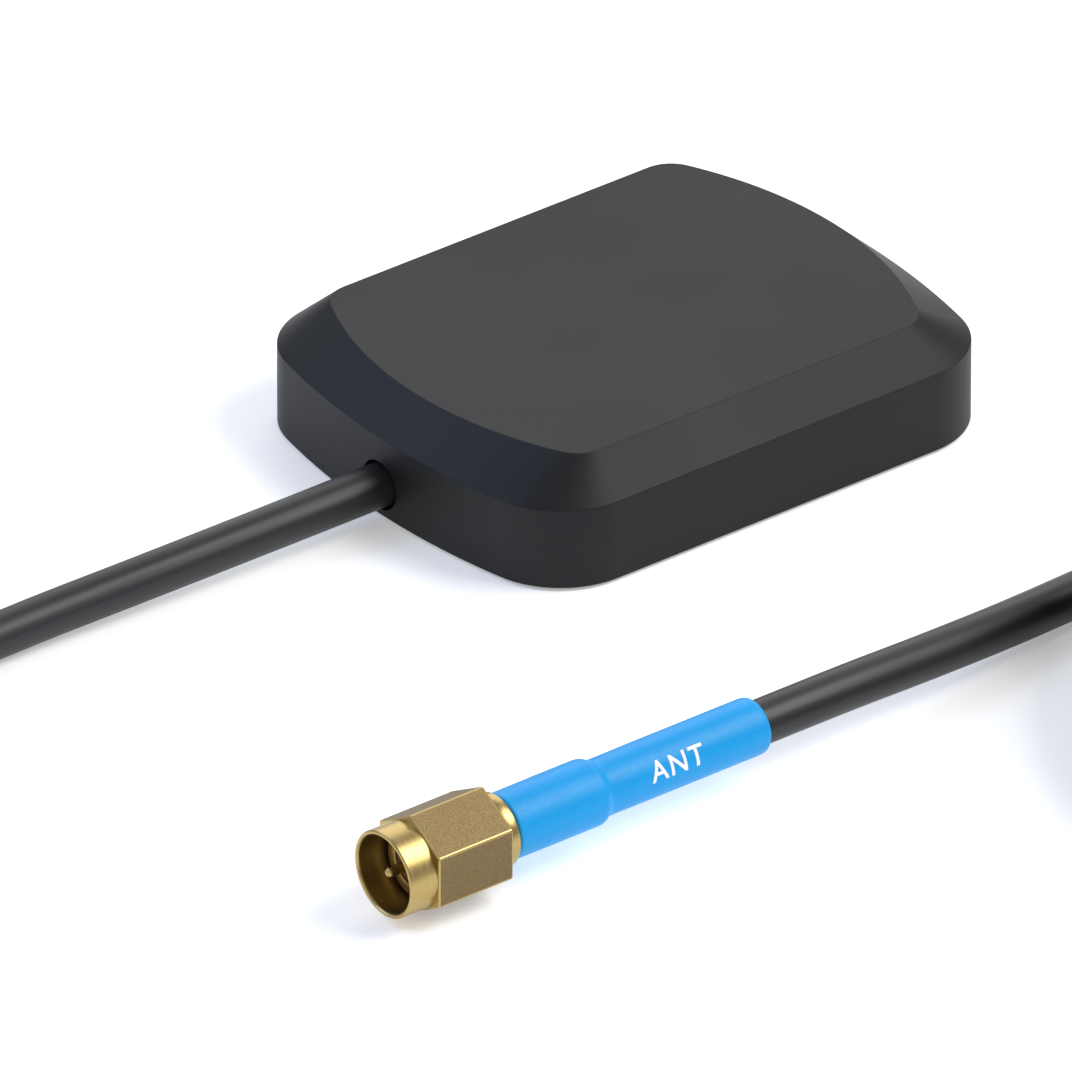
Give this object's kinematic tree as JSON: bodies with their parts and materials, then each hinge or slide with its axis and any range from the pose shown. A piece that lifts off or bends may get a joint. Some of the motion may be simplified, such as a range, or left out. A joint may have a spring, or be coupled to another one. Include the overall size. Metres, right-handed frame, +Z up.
{
  "type": "gnss antenna",
  "caption": "Flat puck antenna with bowed ends and a chamfered top, a coax lead with its spare length in a tied coil, and a gold screw-on SMA plug in a coloured sleeve.",
  "frame": {"origin": "middle of the puck's underside, on the surface it stands on", "axes": "+X along the puck's long side, away from the end where the lead comes out; +Z up out of the puck's top face"},
  "size_m": [0.1733, 0.1399, 0.016],
  "materials": {
    "cover_plastic": "fine moulded texture",
    "pad_rubber": "matt",
    "plated_steel": "zinc or tin plated",
    "magnet_nickel": "nickel plated",
    "board_laminate": "solder mask",
    "foam_tape": "foam",
    "ceramic": "sintered ceramic, no glaze",
    "gold_brass": "thin gold plate, satin",
    "braid_wire": "tinned copper braid",
    "ptfe": "waxy",
    "amber_pei": "moulded, satin",
    "gasket_silicone": "satin",
    "lead_jacket": "extruded, satin",
    "tie_strap": "woven strap",
    "sleeve_blue": "heat-shrink, satin"
  },
  "bodies": {
    "antenna": {"top_cover": "cover_plastic", "base_plate": "cover_plastic", "base_pad": "pad_rubber", "base_seal": "pad_rubber", "base_screw_1": "plated_steel", "base_screw_2": "plated_steel", "base_screw_3": "plated_steel", "base_screw_4": "plated_steel", "magnet_1": "magnet_nickel", "magnet_2": "magnet_nickel", "magnet_3": "magnet_nickel", "magnet_4": "magnet_nickel", "circuit_board": "board_laminate", "patch_tape": "foam_tape", "patch_antenna": "ceramic", "feed_pin": "gold_brass", "shield_can": "plated_steel", "amplifier_chip": "cover_plastic", "saw_filter": "ceramic", "lead_bush": "pad_rubber", "lead_crimp": "gold_brass", "coax_braid": "braid_wire", "coax_core": "ptfe", "coax_wire": "gold_brass", "lead_from_puck": "lead_jacket", "lead_coil": "lead_jacket", "lead_to_plug": "lead_jacket", "coil_tie_1": "tie_strap", "coil_tie_2": "tie_strap", "coil_tie_3": "tie_strap", "shrink_sleeve": "sleeve_blue", "crimp_ferrule": "gold_brass", "plug_braid": "braid_wire", "plug_core": "ptfe", "plug_body": "gold_brass", "plug_insulator": "amber_pei", "centre_pin": "gold_brass"},
    "snap_ring": {"snap_ring": "plated_steel"},
    "coupling_nut": {"coupling_nut": "gold_brass", "plug_gasket": "gasket_silicone"}
  },
  "joints": [
    {"name": "nut_float", "type": "slide", "parent": "antenna", "child": "snap_ring", "axis": [-1, 0, 0], "range_m": [-0.0001, 0.0001]},
    {"name": "nut_spin", "type": "hinge", "parent": "snap_ring", "child": "coupling_nut", "pos_m": [-0.0635, -0.0521, 0.0047], "axis": [-1, 0, 0], "continuous": true}
  ]
}
